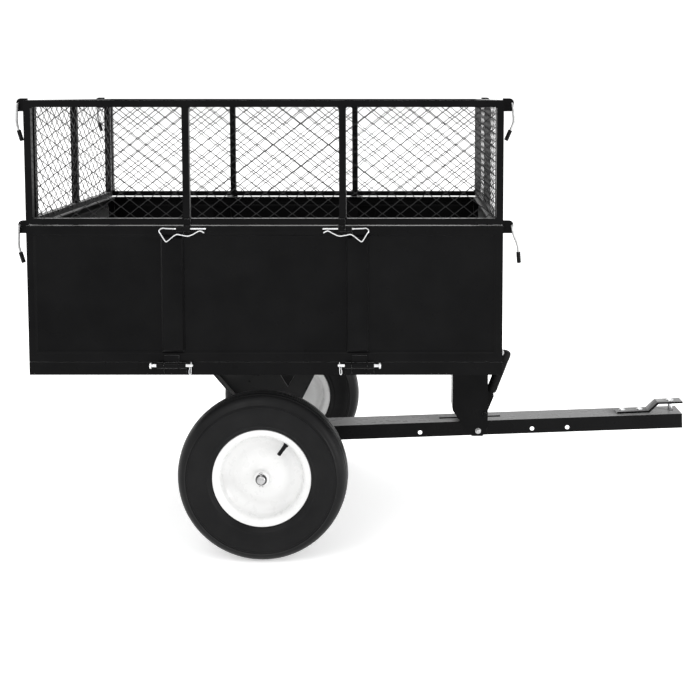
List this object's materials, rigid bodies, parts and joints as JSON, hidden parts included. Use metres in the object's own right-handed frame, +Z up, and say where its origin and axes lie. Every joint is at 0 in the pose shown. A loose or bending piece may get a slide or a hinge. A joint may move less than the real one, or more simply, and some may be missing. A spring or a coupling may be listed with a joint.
{
  "type": "tow behind cart",
  "caption": "Tipping garden cart with a steel box, fold-down steel walls, mesh extension walls, pneumatic wheels and a channel drawbar with a drop-pin hitch.",
  "frame": {"origin": "on the ground, under the middle of the overall box", "axes": "+X along the drawbar to the hitch, +Y to the cart's left, +Z up"},
  "size_m": [1.64, 0.848, 1.083],
  "materials": {
    "black_paint": "satin black powder coat",
    "expanded_mesh": "satin black powder coat on expanded mesh",
    "rim_white": "gloss white paint",
    "tyre": "matt black rubber",
    "valve": "matt black rubber",
    "zinc_steel": "bright zinc plate",
    "grip": "matt moulded grip",
    "bush_plastic": "dark moulded bush"
  },
  "bodies": {
    "chassis": {"drawbar": "black_paint", "hitch_plate": "black_paint", "hitch_bolt_rear": "zinc_steel", "hitch_bolt_front": "zinc_steel", "latch_tower": "black_paint", "tower_bolt": "zinc_steel", "lever_pivot_bolt": "zinc_steel", "axle": "zinc_steel", "cotter_left": "zinc_steel", "cotter_right": "zinc_steel"},
    "lever": {"tip_lever": "black_paint", "lever_grip": "grip"},
    "drop_pin": {"hitch_pin": "zinc_steel"},
    "wheel_left": {"tyre_left": "tyre", "rim_left": "rim_white", "hub_bush_left": "bush_plastic", "valve_stem_left": "valve"},
    "wheel_right": {"tyre_right": "tyre", "rim_right": "rim_white", "hub_bush_right": "bush_plastic", "valve_stem_right": "valve"},
    "bed": {"bed_floor": "black_paint", "bed_frame": "black_paint", "tip_bracket_left": "black_paint", "tip_bracket_right": "black_paint", "hinge_pin_left_a": "zinc_steel", "hinge_pin_left_b": "zinc_steel", "hinge_pin_right_a": "zinc_steel", "hinge_pin_right_b": "zinc_steel", "hinge_rod_rear": "zinc_steel", "hinge_rod_front": "zinc_steel"},
    "wall_right": {"panel_right": "black_paint"},
    "gate_right": {"mesh_frame_right": "black_paint", "mesh_infill_right": "expanded_mesh"},
    "lock_right_a": {"lock_pin_right_a": "zinc_steel"},
    "lock_right_b": {"lock_pin_right_b": "zinc_steel"},
    "wall_left": {"panel_left": "black_paint"},
    "gate_left": {"mesh_frame_left": "black_paint", "mesh_infill_left": "expanded_mesh"},
    "lock_left_a": {"lock_pin_left_a": "zinc_steel"},
    "lock_left_b": {"lock_pin_left_b": "zinc_steel"},
    "wall_rear": {"panel_rear": "black_paint"},
    "gate_rear": {"mesh_frame_rear": "black_paint", "mesh_infill_rear": "expanded_mesh"},
    "lock_rear_a": {"lock_pin_rear_a": "zinc_steel"},
    "lock_rear_b": {"lock_pin_rear_b": "zinc_steel"},
    "wall_front": {"panel_front": "black_paint"},
    "gate_front": {"mesh_frame_front": "black_paint", "mesh_infill_front": "expanded_mesh"},
    "lock_front_a": {"lock_pin_front_a": "zinc_steel"},
    "lock_front_b": {"lock_pin_front_b": "zinc_steel"},
    "latch_rear_low_a": {"latch_rear_low_a": "zinc_steel"},
    "latch_rear_high_a": {"latch_rear_high_a": "zinc_steel"},
    "latch_rear_low_b": {"latch_rear_low_b": "zinc_steel"},
    "latch_rear_high_b": {"latch_rear_high_b": "zinc_steel"},
    "latch_front_low_a": {"latch_front_low_a": "zinc_steel"},
    "latch_front_high_a": {"latch_front_high_a": "zinc_steel"},
    "latch_front_low_b": {"latch_front_low_b": "zinc_steel"},
    "latch_front_high_b": {"latch_front_high_b": "zinc_steel"}
  },
  "joints": [
    {"name": "lever_pull", "type": "hinge", "parent": "chassis", "child": "lever", "pos_m": [0.2925, 0, 0.252], "axis": [0, 1, 0], "range_deg": [0, 20], "stiffness_Nm_per_rad": 1, "springref_deg": -17.19},
    {"name": "hitch_pin_lift", "type": "slide", "parent": "chassis", "child": "drop_pin", "axis": [-0.0359, 0, 0.9994], "range_m": [0, 0.09]},
    {"name": "wheel_left_spin", "type": "hinge", "parent": "chassis", "child": "wheel_left", "pos_m": [-0.2535, 0.374, 0.2], "axis": [0, 1, 0], "continuous": true},
    {"name": "wheel_right_spin", "type": "hinge", "parent": "chassis", "child": "wheel_right", "pos_m": [-0.2535, -0.374, 0.2], "axis": [0, 1, 0], "continuous": true},
    {"name": "bed_tip", "type": "hinge", "parent": "chassis", "child": "bed", "pos_m": [-0.2535, 0, 0.2], "axis": [0, -1, 0], "range_deg": [0, 40]},
    {"name": "wall_right_fold", "type": "hinge", "parent": "bed", "child": "wall_right", "pos_m": [-0.2435, -0.398, 0.465], "axis": [1, 0, 0], "range_deg": [0, 90]},
    {"name": "gate_right_fold", "type": "hinge", "parent": "wall_right", "child": "gate_right", "pos_m": [-0.2435, -0.398, 0.784], "axis": [1, 0, 0], "range_deg": [0, 140]},
    {"name": "lock_right_a_pull", "type": "slide", "parent": "wall_right", "child": "lock_right_a", "axis": [-1, 0, 0], "range_m": [0, 0.08]},
    {"name": "lock_right_b_pull", "type": "slide", "parent": "wall_right", "child": "lock_right_b", "axis": [1, 0, 0], "range_m": [0, 0.08]},
    {"name": "wall_left_fold", "type": "hinge", "parent": "bed", "child": "wall_left", "pos_m": [-0.2435, 0.398, 0.465], "axis": [-1, 0, 0], "range_deg": [0, 90]},
    {"name": "gate_left_fold", "type": "hinge", "parent": "wall_left", "child": "gate_left", "pos_m": [-0.2435, 0.398, 0.784], "axis": [-1, 0, 0], "range_deg": [0, 140]},
    {"name": "lock_left_a_pull", "type": "slide", "parent": "wall_left", "child": "lock_left_a", "axis": [1, 0, 0], "range_m": [0, 0.08]},
    {"name": "lock_left_b_pull", "type": "slide", "parent": "wall_left", "child": "lock_left_b", "axis": [-1, 0, 0], "range_m": [0, 0.08]},
    {"name": "wall_rear_fold", "type": "hinge", "parent": "bed", "child": "wall_rear", "pos_m": [-0.8015, 0, 0.465], "axis": [0, -1, 0], "range_deg": [0, 90]},
    {"name": "gate_rear_fold", "type": "hinge", "parent": "wall_rear", "child": "gate_rear", "pos_m": [-0.8015, 0, 0.784], "axis": [0, -1, 0], "range_deg": [0, 95]},
    {"name": "lock_rear_a_pull", "type": "slide", "parent": "wall_rear", "child": "lock_rear_a", "axis": [0, 1, 0], "range_m": [0, 0.08]},
    {"name": "lock_rear_b_pull", "type": "slide", "parent": "wall_rear", "child": "lock_rear_b", "axis": [0, -1, 0], "range_m": [0, 0.08]},
    {"name": "wall_front_fold", "type": "hinge", "parent": "bed", "child": "wall_front", "pos_m": [0.3145, 0, 0.465], "axis": [0, 1, 0], "range_deg": [0, 90]},
    {"name": "gate_front_fold", "type": "hinge", "parent": "wall_front", "child": "gate_front", "pos_m": [0.3145, 0, 0.784], "axis": [0, 1, 0], "range_deg": [0, 95]},
    {"name": "lock_front_a_pull", "type": "slide", "parent": "wall_front", "child": "lock_front_a", "axis": [0, -1, 0], "range_m": [0, 0.08]},
    {"name": "lock_front_b_pull", "type": "slide", "parent": "wall_front", "child": "lock_front_b", "axis": [0, 1, 0], "range_m": [0, 0.08]},
    {"name": "latch_rear_low_a_lift", "type": "hinge", "parent": "wall_rear", "child": "latch_rear_low_a", "pos_m": [-0.8155, 0.363, 0.787], "axis": [0, 1, 0], "range_deg": [0, 120]},
    {"name": "latch_rear_high_a_lift", "type": "hinge", "parent": "gate_rear", "child": "latch_rear_high_a", "pos_m": [-0.8155, 0.3545, 1.07], "axis": [0, 1, 0], "range_deg": [0, 120]},
    {"name": "latch_rear_low_b_lift", "type": "hinge", "parent": "wall_rear", "child": "latch_rear_low_b", "pos_m": [-0.8155, -0.363, 0.787], "axis": [0, 1, 0], "range_deg": [0, 120]},
    {"name": "latch_rear_high_b_lift", "type": "hinge", "parent": "gate_rear", "child": "latch_rear_high_b", "pos_m": [-0.8155, -0.3545, 1.07], "axis": [0, 1, 0], "range_deg": [0, 120]},
    {"name": "latch_front_low_a_lift", "type": "hinge", "parent": "wall_front", "child": "latch_front_low_a", "pos_m": [0.3285, -0.363, 0.787], "axis": [0, -1, 0], "range_deg": [0, 120]},
    {"name": "latch_front_high_a_lift", "type": "hinge", "parent": "gate_front", "child": "latch_front_high_a", "pos_m": [0.3285, -0.3545, 1.07], "axis": [0, -1, 0], "range_deg": [0, 120]},
    {"name": "latch_front_low_b_lift", "type": "hinge", "parent": "wall_front", "child": "latch_front_low_b", "pos_m": [0.3285, 0.363, 0.787], "axis": [0, -1, 0], "range_deg": [0, 120]},
    {"name": "latch_front_high_b_lift", "type": "hinge", "parent": "gate_front", "child": "latch_front_high_b", "pos_m": [0.3285, 0.3545, 1.07], "axis": [0, -1, 0], "range_deg": [0, 120]}
  ]
}
